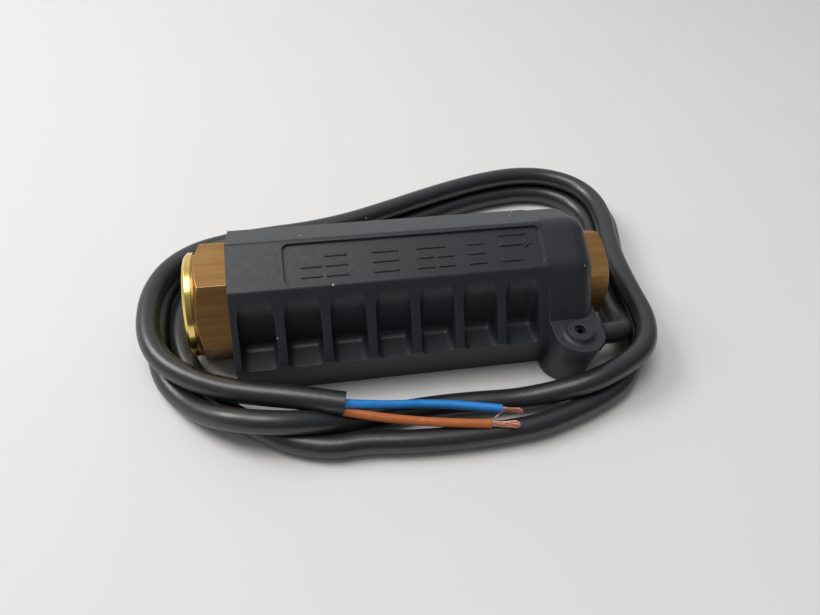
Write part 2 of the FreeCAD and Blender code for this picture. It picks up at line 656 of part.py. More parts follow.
def make_flow_body():
    """Turned collar, inlet hexagon and the tube with its stepped bore."""
    body = new_body("flow_body", "axis_height")
    neck = f"({TUBE_START} + collar_length - neck_length)"
    hex_start = f"(-{HOUSING_END} - inlet_hex_length)"
    turned(body, "tube", [
        (TUBE_START, "0"), (TUBE_START, "collar_radius - collar_bevel"),
        (f"{TUBE_START} + collar_bevel", "collar_radius"), (neck, "collar_radius"),
        (neck, "neck_radius"), (hex_start, "neck_radius"), (hex_start, "tube_radius"),
        (HOUSING_END, "tube_radius"), (HOUSING_END, "0")])
    sketch = new_sketch(body, "inlet_hexagon", "YZ_Plane", hex_start)
    hexagon(sketch, "inlet_hex_width")
    pad(body, sketch, "inlet_hex", "inlet_hex_length")
    turned(body, "inlet_bevel", bevel_profile(hex_start, "inlet_hex_bevel", "inlet_hex_width"),
           "PartDesign::Groove")
    mouth_end = f"({TUBE_START} + port_mouth - port_radius)"
    groove_end = "(guide_end + circlip_thickness)"
    turned(body, "stepped_bore", [
        (f"{TUBE_START} - 1", "0"), (f"{TUBE_START} - 1", "port_mouth"), (TUBE_START, "port_mouth"),
        (mouth_end, "port_radius"), (THROAT_START, "port_radius"), (THROAT_START, "throat_radius"),
        (SEAT_START, "throat_radius"), (SEAT_START, "bore_radius"), ("guide_end", "bore_radius"),
        ("guide_end", "circlip_groove"), (groove_end, "circlip_groove"), (groove_end, "bore_radius"),
        (SPIGOT_START, "bore_radius"), (SPIGOT_START, "spigot_radius"),
        (f"{HOUSING_END} + 1", "spigot_radius"), (f"{HOUSING_END} + 1", "0")], "PartDesign::Groove")
    return body


def make_outlet_fitting():
    """Screwed spigot and the outlet hexagon that clamps the housing."""
    body = new_body("outlet_fitting", "axis_height")
    seal_start = f"({SPIGOT_START} + seal_thickness)"
    turned(body, "spigot", [(seal_start, "0"), (seal_start, "spigot_radius"),
                            (HOUSING_END, "spigot_radius"), (HOUSING_END, "outlet_bore + 3"),
                            (OUTLET_END, "outlet_bore + 3"), (OUTLET_END, "0")])
    sketch = new_sketch(body, "outlet_hexagon", "YZ_Plane", HOUSING_END)
    hexagon(sketch, "outlet_hex_width", "180 - outlet_hex_turn")
    pad(body, sketch, "outlet_hex", "outlet_hex_length")
    turned(body, "outlet_bevel",
           bevel_profile(OUTLET_END, "outlet_hex_bevel", "outlet_hex_width", -1),
           "PartDesign::Groove")
    port_end = f"({OUTLET_END} - port_depth)"
    turned(body, "outlet_port", [
        (f"{seal_start} - 1", "0"), (f"{seal_start} - 1", "outlet_bore"), (port_end, "outlet_bore"),
        (port_end, "port_radius"), (f"{OUTLET_END} - (port_mouth - port_radius)", "port_radius"),
        (OUTLET_END, "port_mouth"), (f"{OUTLET_END} + 1", "port_mouth"), (f"{OUTLET_END} + 1", "0")],
        "PartDesign::Groove")
    return body


def make_ring(name, start, length, inner, outer):
    """A plain ring about the flow axis."""
    body = new_body(name, "axis_height")
    end = f"{start} + {length}"
    turned(body, f"{name}_turned", [(start, inner), (end, inner), (end, outer), (start, outer)])
    return body


def make_piston():
    """Fluted piston: sealing disc in front, magnet seat and bore behind."""
    body = new_body("piston", "axis_height")
    outer = "(bore_radius - piston_fit)"
    disc_end = f"({PISTON_START} + piston_face_length)"
    shoulder = f"{disc_end} + {outer} - piston_face_radius"
    magnet_start = f"({PISTON_END} - magnet_cap_length - magnet_length)"
    bore_start = f"({PISTON_START} + piston_face_length + 1)"
    turned(body, "piston_turned", [
        (PISTON_START, "0"), (PISTON_START, "piston_face_radius"), (disc_end, "piston_face_radius"),
        (shoulder, outer), (PISTON_END, outer), (PISTON_END, "magnet_radius"),
        (magnet_start, "magnet_radius"), (magnet_start, "piston_bore"), (bore_start, "piston_bore"),
        (bore_start, "0")])
    sketch = new_sketch(body, "flute_outline", "YZ_Plane", PISTON_START)
    circle(sketch, "0", "flute_reach", "flute_radius")
    flute = pocket(body, sketch, "flute", "piston_length", reversed_way=True)
    doc.recompute()
    ring = body.newObject("PartDesign::PolarPattern", "flutes")
    ring.Originals = [flute]
    ring.Axis = (origin_feature(body, "X_Axis"), [""])
    ring.Angle = 360
    ring.Occurrences = 4
    body.Tip = ring
    return body


def make_spring_guide():
    """Flanged tube that centres the spring and stops the piston."""
    body = new_body("spring_guide", "axis_height")
    hub_start = f"({PISTON_END} + piston_travel)"
    flange_start = "(guide_end - guide_flange)"
    turned(body, "guide_turned", [
        (hub_start, "guide_hole"), ("guide_end", "guide_hole"), ("guide_end", "bore_radius"),
        (flange_start, "bore_radius"), (flange_start, "guide_hub_radius"),
        (hub_start, "guide_hub_radius")])
    return body


def make_return_spring():
    """A helix of short straight pieces between the piston's rim and the guide's flange."""
    wire, radius = value("spring_wire"), value("spring_radius")
    start = value(PISTON_END) + wire
    length = value("guide_end - guide_flange") - wire - start
    steps = SPRING_STEPS * int(value("spring_turns"))
    places = []
    for step in range(steps + 1):
        angle = 2 * math.pi * step / SPRING_STEPS
        places.append(Vector(start + length * step / steps, radius * math.sin(angle),
                             value("axis_height") - radius * math.cos(angle)))
    corner = Part.Circle(places[0], places[1] - places[0], wire)
    ring = Part.makePolygon([corner.value(2 * math.pi * k / 6) for k in range(7)])
    spring = doc.addObject("Part::Feature", "return_spring")
    spring.Label = "return_spring"
    spring.Shape = Part.makePolygon(places).makePipeShell([ring], True, False, 1)
    return spring


def make_circlip():
    """Open ring in its groove behind the guide."""
    ring = make_ring("circlip_ring", "guide_end", "circlip_thickness", "circlip_inner",
                     "circlip_groove")
    gap = box("circlip_opening", ("guide_end - 1", "-circlip_gap / 2", "axis_height"),
              ("guide_end + circlip_thickness + 1", "circlip_gap / 2",
               "axis_height + circlip_groove + 1"))
    return cut("circlip", ring, gap)


# --------------------------------------------------------------- reed contact
def make_carrier_board():
    board = box("carrier_board",
                ("-board_start", "-chamber_inner_reach - chamber_width + board_play", "board_height"),
                ("-board_start + board_length", "-chamber_inner_reach - board_play",
                 "board_height + board_thickness"))
    board.Label = "carrier_board"
    return board


def make_rod(name, start, length, radius):
    """A round rod along the reed's own line."""
    rod = cylinder(name, (start, f"-{WIRE_REACH}", UPPER_WIRE), radius, length, "x")
    rod.Label = name
    return rod


def make_reed():
    """Glass tube, its two leads and the sleeves crimped on them."""
    glass_start = "(-reed_middle - reed_length / 2)"
    glass_end = "(-reed_middle + reed_length / 2)"
    return [
        make_rod("reed_glass", glass_start, "reed_length", "reed_radius"),
        make_rod("reed_lead_1", f"{glass_start} - lead_length", "lead_length", "lead_radius"),
        make_rod("reed_lead_2", glass_end, "lead_length", "lead_radius"),
    ]


# ---------------------------------------------------------------------- cable
def tube(name, route, diameter):
    """A round tube along straight runs joined by the largest tangent arcs."""
    places = [Vector(*place) for place in route]
    edges = []
    length = 0.0
    start = places[0]
    radii = []
    for before, corner, after in zip(places, places[1:], places[2:]):
        back = before - corner
        ahead = after - corner
        turn = math.pi - back.getAngle(ahead)
        reach = 0.45 * min(back.Length, ahead.Length)
        radius = reach / math.tan(turn / 2)
        radii.append(radius)
        entry = corner + back.normalize() * reach
        leave = corner + ahead.normalize() * reach
        bisector = (back + ahead).normalize()
        top = corner + bisector * (radius / math.cos(turn / 2) - radius)
        edges.append(Part.LineSegment(start, entry).toShape())
        edges.append(Part.Arc(entry, top, leave).toShape())
        length += (entry - start).Length + radius * turn
        start = leave
    edges.append(Part.LineSegment(start, places[-1]).toShape())
    length += (places[-1] - start).Length
    path = Part.Wire(edges)
    heading = (places[1] - places[0]).normalize()
    disc = Part.Face(Part.Wire(Part.Circle(places[0], heading, diameter / 2).toShape()))
    solid = path.makePipe(disc)
    expected = math.pi * diameter ** 2 / 4 * length
    print(f"{name}: length {length:.1f}, least radius {min(radii):.1f}, "
          f"volume {solid.Volume:.0f} of {expected:.0f}")
    print("   radii", " ".join(f"{radius:.0f}" for radius in radii))
    if abs(solid.Volume - expected) > 0.01 * expected:
        raise RuntimeError(f"{name}: the tube's volume is off")
    piece = doc.addObject("Part::Feature", name)
    piece.Label = name
    piece.Shape = solid
    return piece


# The cable's route, chosen by hand: out of the grommet, down to the surface,
# then loops that lie round the housing, some of them on top of others.
LYING = value("cable_diameter") / 2
CABLE_ROUTE = [
    (48.5, -19.9, 9.75), (52.7, -19.9, 9.75), (56.3, -17.6, 8.3), (57.8, -12.4, 5.4),
    (58.5, -5.6, 3.1), (59.3, 4.5, LYING), (61.2, 14.6, LYING), (64.3, 24.3, LYING),
    (66.3, 33.5, LYING), (64, 42.3, LYING), (57.3, 48.6, LYING), (47.6, 50.6, LYING),
    (37.5, 49.4, LYING), (26.5, 46.9, LYING), (15, 42.6, LYING), (2.5, 36.4, LYING),
    (-10.5, 31.4, LYING), (-24, 28.9, LYING), (-37, 28.6, LYING), (-48.9, 26.4, LYING),
    (-57.6, 20.6, LYING), (-62.3, 12, LYING), (-63.5, 2.5, LYING), (-63.1, -7.5, LYING),
    (-60.6, -16.8, LYING), (-55, -24.8, LYING), (-46.8, -31, LYING), (-36.5, -35.3, LYING),
    (-25.5, -36.2, LYING), (-13, -35.5, LYING), (2, -34, LYING), (17, -33.2, LYING),
    (31, -32.9, LYING), (42, -32.9, LYING), (51.4, -28, LYING), (59.4, -21, LYING),
    (64.3, -11.2, LYING), (64.8, 0.5, LYING), (66.3, 10.5, 4.2), (67.6, 20.5, 7.0),
    (69.5, 30.5, 8.0), (69.4, 40.5, 7.9), (65.8, 48.6, 7.7), (57.8, 54.8, 7.6), (46.5, 56.4, 7.5),
    (35, 55.6, 8.2), (23, 53.9, 8.9), (11, 51.4, 8.9), (-1, 47.8, 7.8), (-12, 44.3, 5.1),
    (-23, 42.2, LYING), (-35, 41.3, LYING), (-46.5, 39.3, LYING), (-58.2, 35.3, LYING),
    (-68.4, 27.6, LYING), (-73.2, 16.5, LYING), (-75.2, 5, LYING), (-75.4, -7, LYING),
    (-71.7, -18, LYING), (-63.7, -27.5, LYING), (-53.6, -35.2, LYING), (-41.8, -40.5, LYING),
    (-28.5, -42.6, LYING), (-14, -42.3, LYING), (1, -41.4, LYING), (16, -41.6, LYING),
    (31, -40.8, LYING), (44.4, -38.1, LYING), (56.6, -32.4, LYING), (65.9, -23.4, LYING),
    (70.2, -11.6, LYING), (70.9, 0.6, LYING), (72, 12.2, LYING), (73.2, 23, LYING),
    (73, 33.8, LYING), (71.3, 44.8, LYING), (66, 53.9, LYING), (57.2, 59.9, LYING),
    (45, 61.6, LYING), (32, 58.9, LYING), (19, 52.9, LYING), (6.5, 45.6, LYING),
    (-6, 39.2, LYING), (-18.5, 35.6, LYING), (-31.5, 34.7, LYING), (-44, 34.1, LYING),
    (-55.6, 29.6, LYING), (-64.2, 22.1, LYING), (-68.6, 12.2, LYING), (-69.5, 2, LYING),
    (-69.1, -7.2, 3.0), (-66.9, -15.2, 5.9), (-61.2, -21, 8.3), (-53, -26.2, 8.9),
    (-43.4, -29, 7.8), (-33.2, -29.6, 5.3), (-22, -29.6, LYING),
]
BLUE_ROUTE = [
    (-22, -28.45, 2.95), (-16.5, -28.8, 2.9), (-10.5, -30.4, 4.7), (-4, -32.4, 6.7), (3, -34.1, 7.1),
    (10, -35.9, 6.9), (16.5, -37.8, 6.4),
]
BROWN_ROUTE = [
    (-22, -30.75, 2.85), (-17, -31.2, 4.5), (-11.5, -33.4, 7.0), (-5.5, -36.2, 7.1), (1, -38.2, 6.7),
    (7.5, -40.0, 7.0), (13.6, -41.3, 7.1),
]
BLUE_COPPER = [BLUE_ROUTE[-1], (19.5, -38.8, 6.2), (22.6, -39.5, 6.2)]
BROWN_COPPER = [BROWN_ROUTE[-1], (17.3, -41.8, 6.9), (20.8, -42.9, 6.6)]


def make_cable_end():
    """The free cable with its two cores and their bared copper."""
    core, copper = value("core_diameter"), value("strand_diameter")
    return [
        tube("cable", CABLE_ROUTE, value("cable_diameter")),
        tube("blue_core", BLUE_ROUTE, core),
        tube("brown_core", BROWN_ROUTE, core),
        tube("blue_strands", BLUE_COPPER, copper),
        tube("brown_strands", BROWN_COPPER, copper),
    ]


def make_grommet_and_sheath():
    """The rubber grommet in the end wall and the sheath clamped behind it."""
    grommet = new_body("cable_grommet", "exit_height")
    grommet.setExpression("Placement.Base.y", bound("-exit_reach"))
    inner = f"({HOUSING_END} - grommet_depth)"
    lip = f"({HOUSING_END} + grommet_lip)"
    turned(grommet, "grommet_turned", [
        (inner, "cable_diameter / 2"), (EXIT_END, "cable_diameter / 2"), (EXIT_END, "grommet_tip"),
        (lip, "grommet_radius"), (lip, "grommet_flange"), (HOUSING_END, "grommet_flange"),
        (HOUSING_END, "grommet_radius"), (inner, "grommet_radius")])
    sheath = cylinder("cable_root", ("channel_end", "-exit_reach", "exit_height"),
                      "cable_diameter / 2", f"{EXIT_END} - channel_end", "x")
    sheath.Label = "cable_root"
    return [grommet, sheath]


def make_sleeves():
    """The crimp sleeves that join the reed's leads to the cores."""
    lead = f"(lead_length * {LEAD_GRIP})"
    wire = f"(sleeve_length - {lead})"
    outer_tip = "(-reed_middle - reed_length / 2 - lead_length)"
    inner_tip = "(-reed_middle + reed_length / 2 + lead_length)"
    pieces = []
    for name, start, lead_start, wire_start in (
            ("crimp_sleeve_1", f"{outer_tip} - {wire}", outer_tip, f"{outer_tip} - {wire}"),
            ("crimp_sleeve_2", f"{inner_tip} - {lead}", f"{inner_tip} - {lead}", inner_tip)):
        sleeve = cylinder(f"{name}_body", (start, f"-{WIRE_REACH}", UPPER_WIRE), "sleeve_radius",
                          "sleeve_length", "x")
        lead_hole = cylinder(f"{name}_lead_hole", (lead_start, f"-{WIRE_REACH}", UPPER_WIRE),
                             "lead_radius", lead, "x")
        wire_hole = cylinder(f"{name}_wire_hole", (wire_start, f"-{WIRE_REACH}", UPPER_WIRE),
                             "core_diameter / 2", wire, "x")
        pieces.append(cut(name, sleeve, joined(f"{name}_holes", [lead_hole, wire_hole])))
    return pieces


def make_cores():
    """The two cores inside the housing, from the sheath's end to the sleeves."""
    reach, lift = -value(WIRE_REACH), value(UPPER_WIRE)
    core = value("core_diameter")
    sheath_end = value("channel_end")
    sheath_reach, sheath_height = -value("exit_reach"), value("exit_height")
    turn_in = (value("channel_start") + value("channel_end")) / 2
    upper = sheath_height + core / 2 + 0.05
    lower = sheath_height - core / 2 - 0.05
    grip = value("lead_length") * LEAD_GRIP
    blue_joint = value("-reed_middle + reed_length / 2 + lead_length")
    brown_joint = value("-reed_middle - reed_length / 2 - lead_length")
    brown_end = brown_joint + grip - value("sleeve_length")
    below = value("board_height") - core / 2 - 0.3
    blue = [(blue_joint, reach, lift), (blue_joint + 16, reach, lift), (turn_in - 3.8, reach, lift + 0.1),
            (turn_in - 0.9, reach, upper - 1.3), (turn_in, reach - 2.4, upper),
            (turn_in + 0.6, sheath_reach + 0.6, upper), (sheath_end, sheath_reach, upper)]
    brown = [(brown_joint, reach, lift), (brown_end - 2, reach, lift), (brown_end - 5, reach, lift - 1.4),
             (brown_end - 5, reach, below + 1.3), (brown_end - 2, reach, below),
             (brown_end + 20, reach, below + 0.1), (turn_in - 3.6, reach, below),
             (turn_in - 1.1, reach, below + 1.3), (turn_in - 0.4, reach - 0.6, lower - 1.4),
             (turn_in + 0.1, reach - 3.2, lower - 0.1), (turn_in + 0.7, sheath_reach + 0.5, lower),
             (sheath_end, sheath_reach, lower)]
    return [tube("blue_tail", blue, core), tube("brown_tail", brown, core)]


# ----------------------------------------------------------------- everything
def make_turned_rings():
    magnet_start = f"({PISTON_END} - magnet_cap_length - magnet_length)"
    cap_start = f"({PISTON_END} - magnet_cap_length)"
    return [
        make_ring("seat_ring", SEAT_START, "seat_thickness", "throat_radius", "bore_radius"),
        make_ring("seat_washer", WASHER_START, "washer_thickness", "throat_radius", "bore_radius"),
        make_ring("ring_magnet", magnet_start, "magnet_length", "magnet_hole", "magnet_radius"),
        make_ring("magnet_cap", cap_start, "magnet_cap_length", "magnet_hole", "magnet_radius"),
        make_ring("outlet_seal", SPIGOT_START, "seal_thickness", "bore_radius", "spigot_radius"),
    ]


pieces = [make_housing(), make_base_cover(), make_clamp_screw(), make_flow_body(),
          make_outlet_fitting(), make_piston(), make_spring_guide(),
          make_return_spring(), make_circlip(), make_carrier_board()]
pieces += make_cover_screws() + make_turned_rings() + make_reed() + make_sleeves()
pieces += make_grommet_and_sheath() + make_cores() + make_cable_end()

doc.recompute()
for item in doc.Objects:
    if "Invalid" in item.State or "Error" in item.State:
        raise RuntimeError(f"{item.Name} failed: {item.State}")
for piece in pieces:
    shape = piece.Shape
    if shape.isNull() or not shape.isValid() or not shape.Solids:
        raise RuntimeError(f"{piece.Label}: no valid solid")

os.makedirs("parts", exist_ok=True)
for piece in pieces:
    piece.Shape.exportStep(f"parts/{piece.Label}.step")
print(len(pieces), "pieces written")
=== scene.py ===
import math

import bmesh
import bpy
from mathutils import Matrix, Vector


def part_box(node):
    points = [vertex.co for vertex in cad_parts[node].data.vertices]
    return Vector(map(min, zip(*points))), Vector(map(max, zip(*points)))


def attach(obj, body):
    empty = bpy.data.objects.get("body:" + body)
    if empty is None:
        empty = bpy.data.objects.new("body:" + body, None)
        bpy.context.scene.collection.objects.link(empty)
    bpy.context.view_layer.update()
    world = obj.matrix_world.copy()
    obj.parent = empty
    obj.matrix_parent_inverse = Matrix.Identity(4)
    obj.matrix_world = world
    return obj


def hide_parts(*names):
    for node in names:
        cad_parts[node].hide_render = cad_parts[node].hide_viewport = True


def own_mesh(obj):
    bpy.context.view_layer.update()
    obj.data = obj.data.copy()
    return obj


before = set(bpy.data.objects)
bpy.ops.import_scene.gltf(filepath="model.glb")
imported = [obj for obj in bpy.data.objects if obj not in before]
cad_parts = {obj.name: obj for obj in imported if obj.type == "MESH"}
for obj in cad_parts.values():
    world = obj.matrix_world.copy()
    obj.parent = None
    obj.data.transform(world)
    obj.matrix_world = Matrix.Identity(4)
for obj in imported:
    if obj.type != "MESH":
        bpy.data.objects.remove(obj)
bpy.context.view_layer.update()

# ------------------------------------------------------------ sizes and places
CABLE_DIAMETER = 0.0058
CORE_DIAMETER = 0.0022
BUNDLE_DIAMETER = 0.0015
SEED_ANGLE = 2.4  # between one wire of a bundle and the next
LYING = CABLE_DIAMETER / 2  # height of a cable's middle on the table

body_low, body_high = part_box("flow_body")
fitting_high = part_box("outlet_fitting")[1]
AXIS_HEIGHT = (body_low.z + body_high.z) / 2
COLLAR_END = body_low.x + 0.0022  # how far the turned collar goes, from the inlet

# The pipe thread in both ports, and the spring behind the shuttle.
PORT_RADIUS, THREAD_PITCH, THREAD_TURNS, THREAD_CREST = 0.00755, 0.001337, 7.5, 0.00042
INLET_THREAD_START = body_low.x + 0.0012
OUTLET_THREAD_START = fitting_high.x - 0.0112
SPRING_WIRE, SPRING_TURNS, SHUTTLE_TRAVEL = 0.00035, 6, 0.009

# The label field: its slope, a place low on its floor, and what stands on it.
LABEL_SLOPE = math.radians(24.76)
LABEL_DEPTH = 0.0007
LABEL_RISE = Vector((0, math.cos(LABEL_SLOPE), math.sin(LABEL_SLOPE)))
LABEL_OUT = Vector((0, -math.sin(LABEL_SLOPE), math.cos(LABEL_SLOPE)))
LABEL_FOOT = Vector((0, -0.0115, 0.0280)) - LABEL_DEPTH * LABEL_OUT
ROWS = (0.0030, 0.0056, 0.0082)
LABEL_LINES = [(-0.0285, -0.0235, ROWS[:2]), (-0.0225, -0.0170, ROWS), (-0.0110, -0.0045, ROWS),
               (0.0000, 0.0042, ROWS[:2]), (0.0000, 0.0075, ROWS[2:]), (0.0052, 0.0095, ROWS[:2]),
               (0.0130, 0.0175, ROWS), (0.0215, 0.0270, ROWS[:1]), (0.0215, 0.0290, (0.0100,))]
LINE_HALF, LINE_HEIGHT = 0.00032, 0.00025
ARROW_TAIL, ARROW_NECK, ARROW_TIP, ARROW_ROW = 0.0215, 0.0282, 0.0302, 0.0072
ARROW_BARB, ARROW_LAP, ARROW_HEIGHT = 0.0011, 0.0004, 0.0003
PLATE_ROOT, PLATE_DRAFT = 0.00015, 0.00006  # sunk into the floor, and drawn in at the top

# The camera looks down at the housing's middle from in front.
AIM = Vector((-0.0012, -0.0080, AXIS_HEIGHT))
DISTANCE = 0.1782
HEADING, DIP, ROLL = math.radians(13.14), math.radians(46.58), math.radians(4.30)
LENS, SENSOR = 29.907, 36

# Control points of each cord, exit to bare end.
CABLE_ROUTE = [
    (0.0485, -0.0199, 0.0097), (0.0527, -0.0199, 0.0097), (0.0563, -0.0176, 0.0083),
    (0.0578, -0.0124, 0.0054), (0.0585, -0.0056, 0.0031), (0.0593, 0.0045, LYING),
    (0.0612, 0.0146, LYING), (0.0643, 0.0243, LYING), (0.0663, 0.0335, LYING),
    (0.064, 0.0423, LYING), (0.0573, 0.0486, LYING), (0.0476, 0.0506, LYING),
    (0.0375, 0.0494, LYING), (0.0265, 0.0469, LYING), (0.015, 0.0426, LYING),
    (0.0025, 0.0374, LYING), (-0.0105, 0.0324, LYING), (-0.024, 0.0294, LYING),
    (-0.037, 0.0286, LYING), (-0.0482, 0.0261, LYING), (-0.0562, 0.0202, LYING),
    (-0.0608, 0.0118, LYING), (-0.0621, 0.0032, LYING), (-0.061, -0.0058, LYING),
    (-0.0579, -0.0138, LYING), (-0.0538, -0.0212, LYING), (-0.048, -0.0278, LYING),
    (-0.0412, -0.0332, LYING), (-0.0336, -0.0378, LYING), (-0.0248, -0.0404, LYING),
    (-0.0172, -0.0399, LYING), (-0.0061, -0.0414, LYING), (0.0056, -0.042, LYING),
    (0.0175, -0.0419, LYING), (0.029, -0.041, LYING), (0.05, -0.0336, LYING),
    (0.057, -0.026, LYING), (0.0623, -0.0168, LYING), (0.0648, -0.0068, LYING),
    (0.0653, 0.0036, LYING), (0.0674, 0.0136, LYING), (0.0704, 0.0235, LYING),
    (0.0726, 0.0338, LYING), (0.0706, 0.0442, LYING), (0.0635, 0.0526, LYING),
    (0.053, 0.0568, LYING), (0.0415, 0.0568, LYING), (0.03, 0.0545, LYING), (0.0182, 0.0506, LYING),
    (0.006, 0.0458, LYING), (-0.0065, 0.0414, LYING), (-0.019, 0.0389, LYING),
    (-0.0315, 0.0379, LYING), (-0.0435, 0.0355, LYING), (-0.0544, 0.0314, LYING),
    (-0.0626, 0.0244, LYING), (-0.067, 0.0148, LYING), (-0.0678, 0.0046, LYING),
    (-0.0671, -0.0052, LYING), (-0.0648, -0.0144, LYING), (-0.0598, -0.0222, 0.0032),
    (-0.0538, -0.0288, 0.0058), (-0.0464, -0.0336, 0.0088), (-0.038, -0.0356, 0.009),
    (-0.0292, -0.0354, 0.0072), (-0.02, -0.0338, 0.0032), (-0.0094, -0.0328, LYING),
    (0.0014, -0.0322, LYING), (0.0122, -0.0324, LYING), (0.0226, -0.033, LYING),
    (0.0324, -0.0336, 0.0052), (0.0416, -0.0336, 0.008), (0.0512, -0.0302, 0.0089),
    (0.0594, -0.0252, 0.0092), (0.0634, -0.0158, 0.009), (0.0636, -0.0044, 0.0086),
    (0.0642, 0.0076, 0.0083), (0.0656, 0.0178, 0.0081), (0.0682, 0.0278, 0.008),
    (0.0686, 0.038, 0.008), (0.0646, 0.0464, 0.0081), (0.0564, 0.0518, 0.0081),
    (0.0466, 0.0532, 0.0082), (0.036, 0.0519, 0.0082), (0.0248, 0.0489, 0.0082),
    (0.013, 0.0448, 0.0082), (0.0006, 0.04, 0.0082), (-0.012, 0.0354, 0.0082),
    (-0.025, 0.0322, 0.0084), (-0.0374, 0.031, 0.0085), (-0.0484, 0.0292, 0.0086),
    (-0.0578, 0.0258, 0.0089), (-0.0648, 0.0196, 0.0089), (-0.0684, 0.011, 0.0089),
    (-0.0691, 0.0014, 0.0089), (-0.0676, -0.0074, 0.0089), (-0.0638, -0.0142, 0.0089),
    (-0.0578, -0.0196, 0.009), (-0.05, -0.0242, 0.0092), (-0.041, -0.0274, 0.0098),
    (-0.031, -0.03, 0.01), (-0.021, -0.0326, 0.0092)]
BLUE_ROUTE = [
    (-0.0216, -0.033, 0.0099), (-0.0161, -0.0335, 0.0092), (-0.0096, -0.0336, 0.0079),
    (-0.0017, -0.0337, 0.007), (0.0074, -0.0354, 0.007), (0.0167, -0.0378, 0.007)]
BROWN_ROUTE = [
    (-0.0217, -0.0341, 0.0083), (-0.0164, -0.0357, 0.0079), (-0.0101, -0.0371, 0.0072),
    (-0.0024, -0.0386, 0.0066), (0.0057, -0.0401, 0.0065), (0.0132, -0.0413, 0.0065)]
BLUE_COPPER = [
    (0.0157, -0.0376, 0.007), (0.0174, -0.0381, 0.007), (0.0196, -0.0385, 0.0068),
    (0.022, -0.039, 0.0066)]
BROWN_COPPER = [
    (0.0123, -0.0412, 0.0065), (0.0142, -0.0415, 0.0065), (0.0171, -0.0421, 0.0066),
    (0.0202, -0.0427, 0.0068)]
STRAY_WIRE = [
    (0.0125, -0.0411, 0.0069), (0.0134, -0.0411, 0.008), (0.0145, -0.0408, 0.009),
    (0.0158, -0.0399, 0.0088), (0.0172, -0.0391, 0.008)]

# --------------------------------------------------------------- node language
class Shade:
    """One socket of a node tree; arithmetic on it adds Math nodes."""

    def __init__(self, bench, socket):
        self.bench, self.socket = bench, socket

    def _maths(self, operation, first, second=0.0):
        return self.bench.node("ShaderNodeMath", {"operation": operation}, {0: first, 1: second})

    def __add__(self, other):
        return self._maths("ADD", self, other)

    def __radd__(self, other):
        return self._maths("ADD", other, self)

    def __sub__(self, other):
        return self._maths("SUBTRACT", self, other)

    def __rsub__(self, other):
        return self._maths("SUBTRACT", other, self)

    def __mul__(self, other):
        return self._maths("MULTIPLY", self, other)

    def __rmul__(self, other):
        return self._maths("MULTIPLY", other, self)

    def __truediv__(self, other):
        return self._maths("DIVIDE", self, other)

    def __pow__(self, other):
        return self._maths("POWER", self, other)

    def __lt__(self, other):
        return self._maths("LESS_THAN", self, other)

    def sine(self):
        return self._maths("SINE", self)

    def cosine(self):
        return self._maths("COSINE", self)

    def between(self, low, high):
        """0 at low and 1 at high, held at both ends."""
        return self.bench.node("ShaderNodeMapRange", {"clamp": True},
                               {"Value": self, "From Min": low, "From Max": high})


class Bench:
    """A node tree under construction."""

    def __init__(self, tree):
        self.tree = tree

    def feed(self, socket, value):
        if isinstance(value, Shade):
            self.tree.links.new(value.socket, socket)
        else:
            socket.default_value = value

    def node(self, kind, settings=(), sockets=(), output=0):
        """Any node: its settings first, then the values or links of its sockets."""
        made = self.tree.nodes.new(kind)
        for setting, value in dict(settings).items():
            setattr(made, setting, value)
        for socket, value in dict(sockets).items():
            self.feed(made.inputs[socket], value)
        return Shade(self, made.outputs[output])


class Finish(Bench):
    """A node material on one Principled shader."""

    def __init__(self, name, **constants):
        self.material = bpy.data.materials.new(name)
        self.material.use_nodes = True
        super().__init__(self.material.node_tree)
        self.tree.nodes.clear()
        self.shader = self.tree.nodes.new("ShaderNodeBsdfPrincipled")
        output = self.tree.nodes.new("ShaderNodeOutputMaterial")
        self.tree.links.new(self.shader.outputs[0], output.inputs["Surface"])
        for name, value in constants.items():
            self.shader.inputs[name.replace("_", " ")].default_value = value
        self.place = self.node("ShaderNodeTexCoord", output="Object")

    def along(self, axis):
        """The place along x, y or z, in metres."""
        return self.node("ShaderNodeSeparateXYZ", (), {0: self.place}, output=axis.upper())

    def stretched(self, scale):
        """Object coordinates, scaled apart along each axis."""
        return self.node("ShaderNodeMapping", (), {"Vector": self.place, "Scale": scale})

    def noise(self, scale, detail, place=None):
        return self.node("ShaderNodeTexNoise", (), {
            "Vector": place or self.place, "Scale": scale, "Detail": detail})

    def specks(self, per_metre, size):
        """1 inside scattered small dots, 0 elsewhere; size is a share of the cell."""
        cells = self.node("ShaderNodeTexVoronoi", {"feature": "F1"},
                          {"Vector": self.place, "Scale": per_metre})
        return cells < size

    def mixed(self, share, first, second):
        """From the first colour to the second."""
        return self.node("ShaderNodeMix", {"data_type": "RGBA"}, {0: share, 6: first, 7: second},
                         output=2)

    # Edge mask used to lighten edges: partly rubbed wear, partly a painted highlight.
    def worn_and_highlit_edges(self, radius):
        """1 where the surface turns within the radius, 0 on the flat."""
        turned = self.node("ShaderNodeBevel", {"samples": 6}, {"Radius": radius})
        flat = self.node("ShaderNodeNewGeometry", output="Normal")
        return (1 - self.node("ShaderNodeVectorMath", {"operation": "DOT_PRODUCT"},
                              {0: turned, 1: flat}, output="Value")).between(0.02, 0.25)

    def relief(self, height, depth, edge=0.0):
        """A normal from a height of 0 to 1 that stands for depth metres, on softened edges."""
        sockets = {"Height": height, "Distance": depth}
        if edge:
            sockets["Normal"] = self.node("ShaderNodeBevel", {"samples": 6}, {"Radius": edge})
        return self.node("ShaderNodeBump", (), sockets)

    def paint(self, **sockets):
        """Feeds the shader's own sockets and returns the material."""
        for name, value in sockets.items():
            self.feed(self.shader.inputs[name.replace("_", " ")], value)
        return self.material


